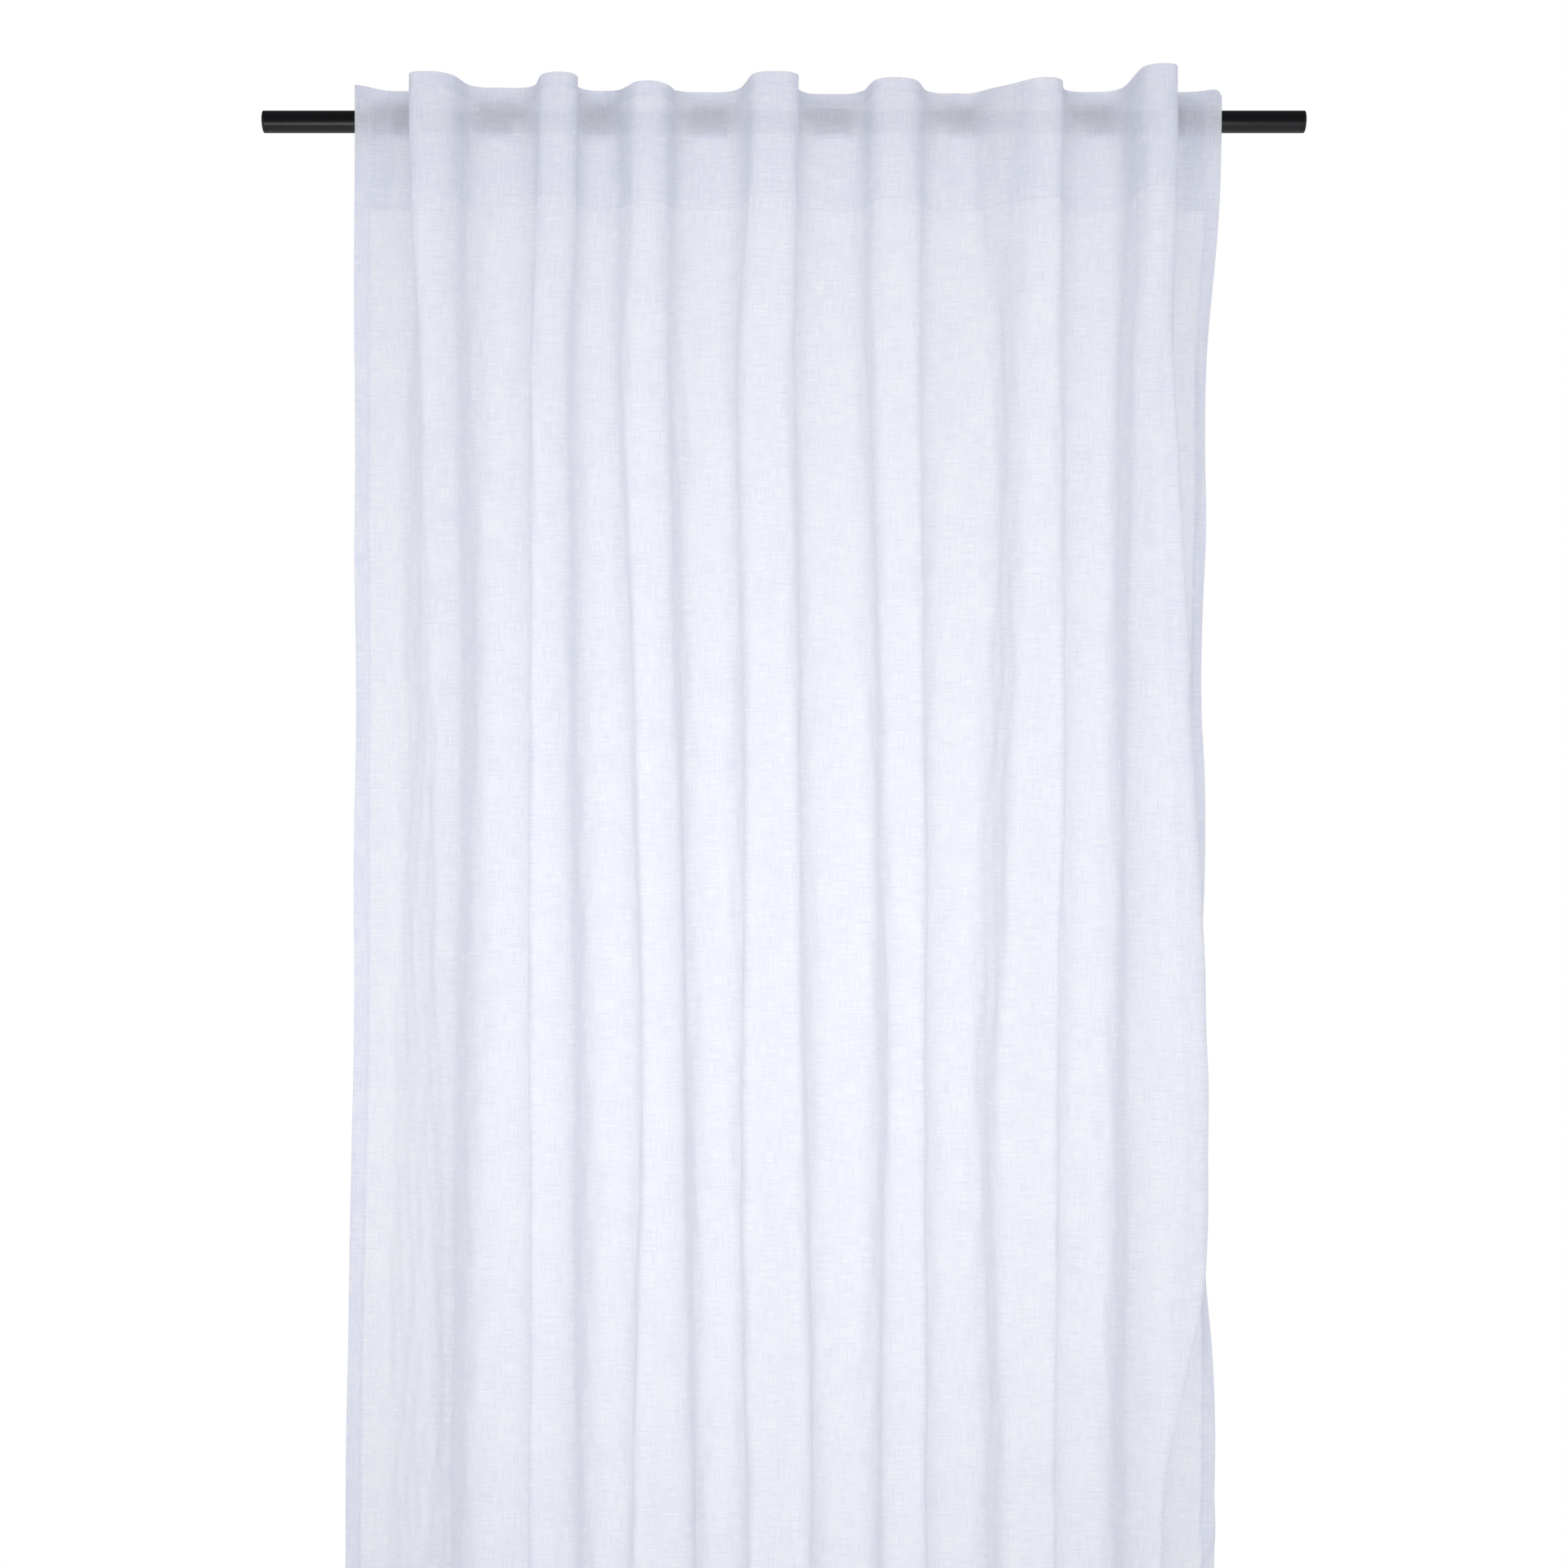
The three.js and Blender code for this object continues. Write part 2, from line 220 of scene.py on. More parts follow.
WAVES = (
    Wave((-334, -334, -329, -329, -332, -334, -336, -340), (-291, -291, -289, -283, -291, -294, -297, -300),
         (95, 95, 78, 62, 50, 47, 44, 42), (76, 76, 84, 88, 88, 88, 88, 86), -2.8, (12, 24), (26, 20)),
    Wave((-222, -222, -228, -228, -229, -229, -230, -226), (-186, -186, -193, -190, -186, -186, -186, -180),
         (76, 76, 88, 92, 92, 92, 92, 90), (97, 97, 95, 88, 86, 87, 88, 88), -3.3, (22, 16), (20, 22)),
    Wave((-143, -143, -148, -136, -128, -132, -138, -142), (-101, -101, -103, -95, -88, -85, -82, -76),
         (72, 72, 80, 84, 86, 85, 84, 84), (84, 84, 90, 90, 90, 90, 90, 88), -12.4, (22, 22), (20, 20)),
    Wave((-34, -34, -42, -36, -37, -36, -34, -30), (13, 13, 9, 14, 20, 23, 26, 30),
         (72, 72, 88, 90, 91, 91, 90, 88), (94, 94, 92, 88, 86, 87, 88, 88), -0.2, (22, 16), (24, 22)),
    Wave((77, 77, 76, 86, 90, 89, 87, 86), (125, 125, 125, 128, 129, 129, 129, 134),
         (76, 76, 82, 84, 85, 85, 86, 88), (76, 76, 88, 92, 92, 92, 92, 90), -5.5, (22, 22), (22, 20)),
    Wave((200, 200, 203, 199, 184, 187, 190, 194), (253, 253, 252, 254, 250, 249, 247, 244),
         (44, 44, 66, 70, 68, 70, 72, 78), (79, 79, 88, 90, 91, 91, 90, 88), -6.3, (26, 18), (28, 20)),
    Wave((315, 315, 308, 307, 308, 307, 305, 302), (349, 349, 343, 359, 377, 383, 344, 340),
         (78, 78, 84, 86, 88, 88, 88, 86), (98, 98, 100, 110, 116, 114, 82, 84), 1.3, (20, 14), (22, 16)),
)
LEFT_SIDE = (-393, -393, -394, -394, -397, -401, -405, -408)
RIGHT_SIDE = (401, 400, 391, 388, 391, 396, 400, 401)
LAST_TAB_LINE = (367, 366, 361, 360, 370, 374, 367, 368)  # the cloth under the right-hand tab
TAB_RISE = (-2.7, 0.7, -2.2, -3.5, -5.2, -4.4, -3, -3.5)  # how high the top edge stands at each tab
BACKWARD_SWING = (0, 0, 2, 8, 14, 16, 18, 22)  # the panel's weight swings it in under the rod
LINE_SWAY = 14  # most that a flat wanders sideways from its tab
CREST_TO_FOOT = (0.85, 0.85, 0.7, 0.45, 0.4, 0.4, 0.4, 0.45)  # a crest's radius as a share of its foot's
SHORTEST_FLAT = 4  # least cloth that lies flat beside a tab line
PLATEAU_FILL = 0.95  # most of a crest's width that its two rounded corners take up
EDGE_TURN_START = 3  # past its tab line, where the right edge starts to turn back
CORNER_LIFT = (6, 3)  # the stiff hems lift the left and the right top corner
CORNER_LIFT_REACH = (20, 90)  # along the cloth and down it
CORNER_ROUND = 8.0  # the right top corner is rounded off
CORNER_ROUND_REACH = 14
RISE_KEPT = 0.35  # share of the top edge's rise that is left far down
RISE_REACH = 500
FULL_RISE = 0.8  # share of a wave's depth from which its crest's whole rise is there
RISE_EASE = 4  # cloth over which the top edge's rise passes into its neighbour's
ROW_STEP = 4  # of the table, down the cloth and along it
CLOTH_STEP = 1
LEVEL_EASE = 9  # rows over which the shape at one level passes into the next
BEND_EASE = 2.6  # cloth over which one bend passes into the next


class Crease(NamedTuple):
    """A soft fold down the cloth: its path as (x, height below the top), its depth and its half width."""

    path: tuple
    depth: float
    width: float


CREASES = (
    Crease(((396, 1290), (388, 1330), (372, 1362), (360, 1385)), 4, 10),
    Crease(((-139, 1245), (-137, 1268), (-129, 1310)), 2.4, 7),
    Crease(((-342, 220), (-347, 380), (-341, 560)), 2.0, 10),
    Crease(((92, 640), (98, 760), (95, 900)), 1.2, 12),
)
CREASE_END = 40  # a crease fades in and out over this length


class Ripple(NamedTuple):
    """Random waves: height, number, lengths along and down the cloth, and a seed."""

    height: float
    count: int
    along: tuple
    down: tuple
    seed: int


HANDLING = Ripple(0.75, 9, (34, 80), (260, 900), 11)
PUCKERS = Ripple(0.3, 9, (14, 30), (90, 260), 12)
SIDE_SEAM = Ripple(0.4, 9, (300, 700), (14, 34), 13)
SIDE_CURL = Ripple(1.6, 5, (300, 700), (160, 420), 14)
HEM_SEAM = Ripple(0.5, 7, (10, 24), (500, 900), 15)
# puckered seams at the tape's foot and top and the tabs' lower flaps: place below the top, reach and height
HEADING_SEAMS = ((TAPE_FOOT, 10, 0.22), (TAPE_TOP + 2, 6, 0.15), (47, 6, 0.12))


def eased(values, reach):
    """Values smoothed along their first axis by a bell of this many steps, with the ends held."""
    around = int(reach * 3) + 1
    bell = np.exp(-0.5 * (np.arange(-around, around + 1) / reach) ** 2)
    padding = [(around, around)] + [(0, 0)] * (values.ndim - 1)
    padded = np.pad(values, padding, mode="edge")
    smooth = [np.convolve(line, bell / bell.sum(), "valid") for line in padded.reshape(len(padded), -1).T]
    return np.array(smooth).T.reshape(values.shape)


def wave_turns(cloth, gap, left, right, turns, rounds, crest_share):
    """One wave's section, as distances along the cloth and the angle at each.

    left and right are its walls' places from the first tab line, and gap is the place of the second one.
    """
    (left_turn, right_turn), (left_foot, right_foot) = turns, rounds
    left_crest, right_crest = left_foot * crest_share, right_foot * crest_share
    half_left, half_right = math.tan(left_turn / 2), math.tan(right_turn / 2)
    for _ in range(5):
        rounding = (left_foot + left_crest) * (2 * half_left - left_turn)
        rounding += (right_foot + right_crest) * (2 * half_right - right_turn)
        depth = (cloth - gap + rounding) / (half_left + half_right)
        first_flat = max(left - depth / 2 / math.tan(left_turn), SHORTEST_FLAT)
        last_flat = max(gap - right - depth / 2 / math.tan(right_turn), SHORTEST_FLAT)
        plateau = gap - first_flat - last_flat - depth * (1 / math.tan(left_turn) + 1 / math.tan(right_turn))
        left_foot = min(left_foot, first_flat / half_left)
        right_foot = min(right_foot, last_flat / half_right)
        corners = left_crest * half_left + right_crest * half_right
        squeeze = min(1, PLATEAU_FILL * max(plateau, 1) / corners)
        left_crest, right_crest = left_crest * squeeze, right_crest * squeeze
    lengths = (
        first_flat - left_foot * half_left, left_foot * left_turn,
        depth / math.sin(left_turn) - (left_foot + left_crest) * half_left, left_crest * left_turn,
        plateau - left_crest * half_left - right_crest * half_right, right_crest * right_turn,
        depth / math.sin(right_turn) - (right_foot + right_crest) * half_right, right_foot * right_turn,
        last_flat - right_foot * half_right,
    )
    shortest = 0.01
    places = np.cumsum([0, *np.maximum(lengths, shortest)])
    return places * cloth / places[-1], (0, 0, left_turn, left_turn, 0, 0, -right_turn, -right_turn, 0, 0)


class Drape:
    """The hanging panel as a table: a point and a normal for each height and distance along the cloth."""

    def __init__(self, width):
        self.rows = np.arange(0, DROP + ROW_STEP, ROW_STEP, dtype=float)
        self.rows[-1] = DROP
        self.along = np.arange(0, width + CLOTH_STEP, CLOTH_STEP, dtype=float)
        self.lines = EDGE + (width - 2 * EDGE) / (len(TAB_X) - 1) * np.arange(len(TAB_X))
        self.width = width
        self.hang()

    def down(self, values):
        """A value given at LEVELS, eased between them, for every row."""
        return eased(np.interp(self.rows, LEVELS, values), LEVEL_EASE)

    def hang(self):
        """Fills the table, first with the waves' sections and then with what disturbs them."""
        walls = [(self.down(w.left), self.down(w.right)) for w in WAVES]
        turns = [np.radians((self.down(w.left_turn), self.down(w.right_turn))) for w in WAVES]
        rounds = [[self.down((top, top, (top + low) / 2, *[low] * (len(LEVELS) - 3)))
                   for top, low in zip(w.heading_round, w.hanging_round)] for w in WAVES]
        crest_share = self.down(CREST_TO_FOOT)
        tab_lines = self.tab_lines(walls)
        last_turn = np.arccos(np.clip((self.down(RIGHT_SIDE) - tab_lines[-1]) / EDGE, 0.3, 1))
        cloth = self.lines[1] - self.lines[0]
        x = np.zeros((len(self.rows), len(self.along)))
        y = np.zeros_like(x)
        for row in range(len(self.rows)):
            corners, angles = [0.0], [0.0]
            for k, (left, right) in enumerate(walls):
                start, end = tab_lines[k][row], tab_lines[k + 1][row]
                radii = [side[row] for side in rounds[k]]
                places, bends = wave_turns(cloth, end - start, left[row] - start, right[row] - start,
                                           turns[k][:, row], radii, crest_share[row])
                corners.extend(self.lines[k] + places)
                angles.extend(bends)
            corners.extend((self.lines[-1] + EDGE_TURN_START, self.width))
            angles.extend((-last_turn[row], -last_turn[row]))
            turn = eased(np.interp(self.along, corners, angles), BEND_EASE)
            x[row], y[row] = np.cumsum(np.cos(turn)), np.cumsum(np.sin(turn))
            targets = [lines[row] for lines in tab_lines]
            x[row] += np.interp(self.along, self.lines, targets - np.interp(self.lines, self.along, x[row]))
            y[row] -= np.interp(self.along, self.lines, np.interp(self.lines, self.along, y[row]))
        depth = np.maximum(y, 0)
        swing = self.down(BACKWARD_SWING)[:, None]
        self.point = np.stack((x, CLOTH_Y - y + swing, self.heights(depth)), axis=-1)
        self.push(self.disturbance(x))
        self.normal = self.normals()

    def tab_lines(self, walls):
        """The x of the cloth under each tab, which wanders on the way down."""
        lines = [self.down(LEFT_SIDE) + EDGE]
        for k in range(1, len(TAB_X) - 1):
            between = (walls[k - 1][1] + walls[k][0]) / 2
            lines.append(TAB_X[k] + np.clip(between - between[0], -LINE_SWAY, LINE_SWAY))
        return [*lines, self.down(LAST_TAB_LINE)]

    def heights(self, depth):
        """Each point's z. The crests' tops and the corners stand a little higher or lower than the rest."""
        crest = np.zeros_like(depth)
        for k, wave in enumerate(WAVES):
            inside = (self.along >= self.lines[k]) & (self.along < self.lines[k + 1])
            share = depth[:, inside] / depth[:, inside].max(axis=1, keepdims=True)
            share = np.minimum(share / FULL_RISE, 1)
            tabs = np.interp(self.along[inside], self.lines, TAB_RISE)
            crest[:, inside] = wave.rise * share + tabs * (1 - share)
        crest[:, self.along < self.lines[0]] = TAB_RISE[0]
        crest[:, self.along > self.lines[-1]] = TAB_RISE[-1]
        rows = self.rows[:, None]
        reach_along, reach_down = CORNER_LIFT_REACH
        for from_side, lift in zip((self.along, self.width - self.along), CORNER_LIFT):
            crest += lift * np.exp(-(from_side / reach_along) ** 2) * np.exp(-rows / reach_down)
        fade = RISE_KEPT + (1 - RISE_KEPT) * np.exp(-rows / RISE_REACH)
        into = np.clip((self.along - (self.width - CORNER_ROUND)) / CORNER_ROUND, 0, 1)
        rounded = -CORNER_ROUND * (1 - np.sqrt(1 - 0.97 * into ** 2))
        risen = fade * eased(crest.T, RISE_EASE).T + rounded * np.exp(-rows / CORNER_ROUND_REACH)
        return TOP - rows + risen

    def disturbance(self, x):
        """How far the cloth stands out from its plain section: ripples, seam puckers and soft creases."""
        rows, along = self.rows[:, None], self.along[None, :]
        out = self.ripple(HANDLING) * np.minimum(1, 0.3 + rows / 300)
        out += self.ripple(PUCKERS) * np.minimum(1, 0.2 + rows / 300)
        for seam, reach, strength in HEADING_SEAMS:
            pull = Ripple(strength, 7, (6, 14), (400, 900), int(seam))
            out += self.ripple(pull) * np.exp(-abs(rows - seam) / reach)
        from_side = np.minimum(along, self.width - along)
        out += self.ripple(SIDE_SEAM) * np.exp(-abs(from_side - SIDE_HEM) / 7) * np.minimum(1, rows / 60)
        out += self.ripple(SIDE_CURL) * np.exp(-from_side / 14) * np.minimum(1, rows / 500)
        out += self.ripple(HEM_SEAM) * np.exp(-abs(rows - (DROP - BOTTOM_HEM)) / 14)
        for crease in CREASES:
            path_x, path_h = np.array(crease.path).T
            centre = np.interp(self.rows, path_h, path_x)[:, None]
            ends = np.clip((rows - path_h[0]) / CREASE_END, 0, 1)
            ends = ends * np.clip((path_h[-1] - rows) / CREASE_END, 0, 1)
            across = (x - centre) / crease.width
            fold = across * np.exp(0.5 - across ** 2 / 2)
            out += crease.depth * ends * ends * (3 - 2 * ends) * fold
        return out

    def ripple(self, kind):
        """One kind of random waves, at every point of the table."""
        draw = np.random.default_rng(kind.seed)
        total = np.zeros((len(self.rows), len(self.along)))
        for _ in range(kind.count):
            along_wave = draw.uniform(*kind.along)
            down_wave = draw.uniform(*kind.down) * draw.choice((-1, 1))
            turn = 2 * math.pi * (self.along[None, :] / along_wave + self.rows[:, None] / down_wave)
            total += np.sin(turn + draw.uniform(0, 2 * math.pi))
        return kind.height * total * math.sqrt(2 / kind.count)

    def push(self, out):
        """Moves the cloth out along its normals."""
        self.point = self.point + self.normals() * out[..., None]

    def normals(self):
        """The cloth's normal at every point of the table, on its face's side."""
        down = np.gradient(self.point, self.rows, axis=0)
        across = np.gradient(self.point, self.along, axis=1)
        normal = np.cross(across, -down)
        return normal / np.linalg.norm(normal, axis=-1, keepdims=True)

    def at(self, height, along):
        """Points and normals in metres and the part's frame. Past an edge the cloth goes straight on."""
        height, along = np.broadcast_arrays(np.asarray(height, float), np.asarray(along, float))
        inside_h, inside_a = np.clip(height, 0, DROP), np.clip(along, 0, self.width)
        row = np.interp(inside_h, self.rows, np.arange(len(self.rows)))
        column = inside_a / CLOTH_STEP
        low_row = np.minimum(row.astype(int), len(self.rows) - 2)
        low_column = np.minimum(column.astype(int), len(self.along) - 2)
        part_row, part_column = (row - low_row)[..., None], (column - low_column)[..., None]

        def across(table, line):
            left, right = table[line, low_column], table[line, low_column + 1]
            return left * (1 - part_column) + right * part_column

        def read(table):
            return across(table, low_row) * (1 - part_row) + across(table, low_row + 1) * part_row

        point, normal = read(self.point), read(self.normal)
        point = point + np.stack((along - inside_a, 0 * along, inside_h - height), axis=-1)
        normal /= np.linalg.norm(normal, axis=-1, keepdims=True)
        return point * MM + np.array(ROD), normal


@functools.lru_cache(maxsize=1)
def drape():
    """The one hanging panel, which the cloth, tape, thread and label share."""
    return Drape(bpy.context.scene.curtain_cloth.panel_width / MM)


# ---- materials
def colour(hex_value):
    """An sRGB hex colour as linear RGBA."""
    parts = [int(hex_value[i:i + 2], 16) / 255 for i in (1, 3, 5)]
    return (*[c / 12.92 if c <= 0.04045 else ((c + 0.055) / 1.055) ** 2.4 for c in parts], 1.0)


def add(tree, kind, inputs=(), **settings):
    """A node of this kind, with its settings made and each input given a value or linked from an output."""
    made = tree.nodes.new(kind)
    for name, value in settings.items():
        setattr(made, name, value)
    for socket, value in dict(inputs).items():
        if isinstance(value, bpy.types.NodeSocket):
            tree.links.new(value, made.inputs[socket])
        else:
            made.inputs[socket].default_value = value
    return made


def remapped(tree, value, before, after, **settings):
    """The output of a node that carries one range of values over into another."""
    (low, high), (new_low, new_high) = before, after
    inputs = {"Value": value, "From Min": low, "From Max": high, "To Min": new_low, "To Max": new_high}
    return add(tree, "ShaderNodeMapRange", inputs, **settings).outputs[0]


def clouds(tree, place, scale, detail, **settings):
    """The output of a noise texture, as grey levels."""
    inputs = {"Vector": place, "Scale": scale, "Detail": detail}
    return add(tree, "ShaderNodeTexNoise", inputs, **settings).outputs["Fac"]


def mixed(tree, share, first, second):
    """The output of a node that mixes two colours."""
    return add(tree, "ShaderNodeMix", {0: share, 6: first, 7: second}, data_type="RGBA").outputs[2]


def empty_material(name):
    """A new material and its node tree, with only an output node in it."""
    material = bpy.data.materials.new(name)
    material.use_nodes = True
    material.node_tree.nodes.clear()
    return material, material.node_tree, material.node_tree.nodes.new("ShaderNodeOutputMaterial")


def woven(name, thick, thin, through, slub, yarn, relief, open_share):
    """Plain-woven cloth. Uneven yarns show as bright flecks both ways, and daylight glows through.

    slub is (width, length) of a thick place in the yarn and yarn the thread spacing, all in metres. through
    is the share of light that the yarns let past, and open_share the part of the cloth that is holes.
    """
    material, tree, output = empty_material(name)
    uv = add(tree, "ShaderNodeUVMap", uv_map="Cloth").outputs["UV"]
    width, length = slub
    runs = []
    for scale in ((1 / length, 1 / width, 1), (1 / width, 1 / length, 1)):
        thread = add(tree, "ShaderNodeMapping", {"Vector": uv, "Scale": scale}, vector_type="POINT")
        runs.append(clouds(tree, thread.outputs[0], 1.0, 2.0, noise_dimensions="2D"))
    higher, lower = [add(tree, "ShaderNodeMath", {0: runs[0], 1: runs[1]}, operation=pick).outputs[0]
                     for pick in ("MAXIMUM", "MINIMUM")]
    fleck = remapped(tree, higher, (0.59, 0.68), (0, 1), interpolation_type="SMOOTHSTEP")
    thin_place = remapped(tree, lower, (0.44, 0.26), (0, 1), interpolation_type="SMOOTHSTEP")
    patch = clouds(tree, uv, 28.0, 2.0, noise_dimensions="2D")
    lit = mixed(tree, fleck, mixed(tree, patch, colour(thin), colour(thick)), colour(thick))
    shaded = mixed(tree, thin_place, lit, colour(thin))
    grid = clouds(tree, uv, 1 / yarn, 1.0, noise_dimensions="2D")
    height = add(tree, "ShaderNodeMath", {0: higher, 1: grid}, operation="ADD").outputs[0]
    bump = add(tree, "ShaderNodeBump", {"Height": height, "Strength": 1.0, "Distance": relief}).outputs[0]
    surface = add(tree, "ShaderNodeBsdfPrincipled", {
        "Base Color": shaded, "Roughness": 0.92, "IOR": 1.45, "Specular IOR Level": 0.25,
        "Sheen Weight": 0.15, "Sheen Roughness": 0.5, "Normal": bump})
    glow = add(tree, "ShaderNodeBsdfTranslucent", {"Color": shaded, "Normal": bump})
    less = remapped(tree, fleck, (0, 1), (through, through * 0.94))  # a thick yarn lets less light through
    mix = add(tree, "ShaderNodeMixShader", {0: less, 1: surface.outputs[0], 2: glow.outputs[0]})
    holes = add(tree, "ShaderNodeBsdfTransparent")
    mix = add(tree, "ShaderNodeMixShader", {0: open_share, 1: mix.outputs[0], 2: holes.outputs[0]})
    tree.links.new(mix.outputs[0], output.inputs["Surface"])
    return material


def coated(name, base, roughness, grain, relief, metallic=0.0):
    """A surface with a fine all-over grain: powder coat, moulded plastic, plated steel, thread or satin."""
    material, tree, output = empty_material(name)
    place = add(tree, "ShaderNodeTexCoord").outputs["Object"]
    peel = clouds(tree, place, 1 / grain, 2.0)
    cloud = clouds(tree, place, 1 / (grain * 14), 3.0)
    worn = remapped(tree, cloud, (0, 1), (roughness - 0.03, roughness + 0.06))
    shade = remapped(tree, cloud, (0, 1), (0.86, 1.14))
    tone = add(tree, "ShaderNodeHueSaturation", {"Color": colour(base), "Value": shade})
    bump = add(tree, "ShaderNodeBump", {"Height": peel, "Strength": 1.0, "Distance": relief})
    surface = add(tree, "ShaderNodeBsdfPrincipled", {
        "Base Color": tone.outputs[0], "Metallic": metallic, "Roughness": worn, "IOR": 1.5,
        "Normal": bump.outputs[0]})
    tree.links.new(surface.outputs[0], output.inputs["Surface"])
    return material


@functools.lru_cache(maxsize=1)
def finishes():
    """Every finish, by name. Each is made once and shared."""
    cloth, rod = bpy.context.scene.curtain_cloth, bpy.context.scene.curtain_rod
    return {
        # washed flax: slubs 1.5 mm thick and 2 cm long, yarns drawn 1.2 mm apart so that they show
        "linen": woven("slub_linen", cloth.thick_yarn, cloth.thin_yarn, 0.5, (0.0015, 0.02), 0.0012,
                       0.00005, 0.08),
        # sheer heading tape: an open polyester gauze
        "tape": woven("sheer_heading_tape", "#f9fafe", "#f0f1f8", 0.6, (0.001, 0.012), 0.001, 0.00008, 0.5),
        # the same yarn woven closer, for the tabs and for the tape's two end lengths
        "tab": woven("woven_tape_loops", "#f9fafe", "#f0f1f8", 0.6, (0.001, 0.012), 0.001, 0.00008, 0.35),
        # spun polyester: a slight sheen on round, even thread
        "thread": coated("polyester_thread", "#eceef6", 0.6, 0.0006, 0.00003),
        # satin powder coat over steel: near-black, with a faint orange peel 1.2 mm across
        "coat": coated("satin_powder_coat", rod.coat, 0.24, 0.0012, 0.000006),
        # injection-moulded ABS: a fine spark-eroded matt
        "plastic": coated("black_moulded_abs", "#161618", 0.5, 0.0006, 0.00001),
        # bright zinc plating: cool grey metal with cloudy patches
        "zinc": coated("zinc_plated_steel", "#b9babb", 0.34, 0.0008, 0.000006, metallic=1.0),
        # woven-edge polyester satin: a silky white label with a soft gloss
        "satin": coated("polyester_satin", "#f3f3f1", 0.38, 0.0007, 0.00003),
    }


# ---- making pieces
def add_object(name, data):
    """A new object in the scene."""
    made = bpy.data.objects.new(name, data)
    bpy.context.scene.collection.objects.link(made)
    return made


def grid(columns, rows):
    """A flat grid, one metre each way."""
    shape = bmesh.new()
    bmesh.ops.create_grid(shape, x_segments=columns, y_segments=rows, size=0.5)
    return shape


def thicken(piece, thickness):
    """Gives a sheet its thickness, half on either side."""
    wall = piece.modifiers.new("Thickness", "SOLIDIFY")
    wall.thickness = thickness * MM
    wall.offset = 0


def make_piece(name, mesh, finish):
    """An object for a finished mesh, with its material."""
    piece = add_object(name, mesh)
    mesh.materials.clear()
    mesh.materials.append(finishes()[finish])
    mesh.polygons.foreach_set("use_smooth", [True] * len(mesh.polygons))
    return piece


def mesh_of(shape, name):
    """Turns a bmesh into a mesh."""
    mesh = bpy.data.meshes.new(name)
    shape.to_mesh(mesh)
    shape.free()
    return mesh


def lathe(name, profile, centre, turns):
    """A round mesh about the X axis through centre, from a closed profile of (x, radius) points in metres."""
    shape = bmesh.new()
    points = [shape.verts.new(centre + Vector((x, 0, radius))) for x, radius in profile]
    edges = [shape.edges.new((a, b)) for a, b in zip(points, points[1:] + points[:1])]
    bmesh.ops.spin(shape, geom=points + edges, cent=centre, axis=(1, 0, 0), angle=2 * math.pi, steps=turns,
                   use_merge=True)
    bmesh.ops.remove_doubles(shape, verts=shape.verts, dist=1e-6)
    bmesh.ops.recalc_face_normals(shape, faces=shape.faces)
    return mesh_of(shape, name)


class Sheet(NamedTuple):
    """Lines of a sheet down and along the cloth, as (distance in millimetres, layers behind the face)."""

    down: list
    along: list


def sheet_mesh(name, sheet, gap, behind=0.0):
    """A sheet that follows the hanging panel, behind its face. gap is the distance between two layers."""
    columns, rows = len(sheet.along) - 1, len(sheet.down) - 1
    mesh = mesh_of(grid(columns, rows), name)
    plane = np.zeros(len(mesh.vertices) * 3)
    mesh.vertices.foreach_get("co", plane)
    plane = plane.reshape(-1, 3)
    column = np.rint((plane[:, 0] + 0.5) * columns).astype(int)
    row = np.rint((0.5 - plane[:, 1]) * rows).astype(int)
    down, down_layer = np.array(sheet.down, float).T
    along, along_layer = np.array(sheet.along, float).T
    point, normal = drape().at(down[row], along[column])
    layer = down_layer[row] + along_layer[column]
    point = point - normal * (layer * gap + behind)[:, None]
    mesh.vertices.foreach_set("co", point.ravel())
    # the cloth's own length down and along it, carried on round each fold
    run_down = np.concatenate(([0], np.cumsum(np.abs(np.diff(down)) + 0.2 * np.abs(np.diff(down_layer)))))
    run_along = along[0] + np.concatenate(([0], np.cumsum(np.abs(np.diff(along)))))
    corner = np.zeros(len(mesh.loops), int)
    mesh.loops.foreach_get("vertex_index", corner)
    uv = np.stack((run_along[column], run_down[row]), axis=-1) * MM
    mesh.uv_layers.new(name="Cloth").data.foreach_set("uv", uv[corner].ravel())
    mesh.polygons.foreach_set("use_smooth", [True] * len(mesh.polygons))
    turned = np.where(np.isclose(layer % 1, 0), np.where(np.isclose(layer % 2, 1), -1.0, 1.0), 0.0)
    mesh.normals_split_custom_set_from_vertices((normal * turned[:, None]).tolist())
    mesh.update()
    return mesh


def steps(start, end, most):
    """Evenly spaced places from start to end, at most this far apart."""
    return list(np.linspace(start, end, max(1, math.ceil(abs(end - start) / most)) + 1))


def attach(piece, first, last):
    """Rides the piece on one tab; a piece that spans two tabs only has its place baked into its mesh and
    rides on no body.
    """
    if first == last:
        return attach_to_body(piece, TABS[first])
    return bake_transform(piece)


def lengths_of_cloth():
    """Each length of the panel: its name, its start and end along the cloth, and its first and last tab."""
    lines = drape().lines
    yield "edge_left", 0.0, lines[0], 0, 0
    for k in range(len(WAVES)):
        yield f"wave_{k + 1}", lines[k], lines[k + 1], k, k + 1
    yield "edge_right", lines[-1], drape().width, len(TABS) - 1, len(TABS) - 1


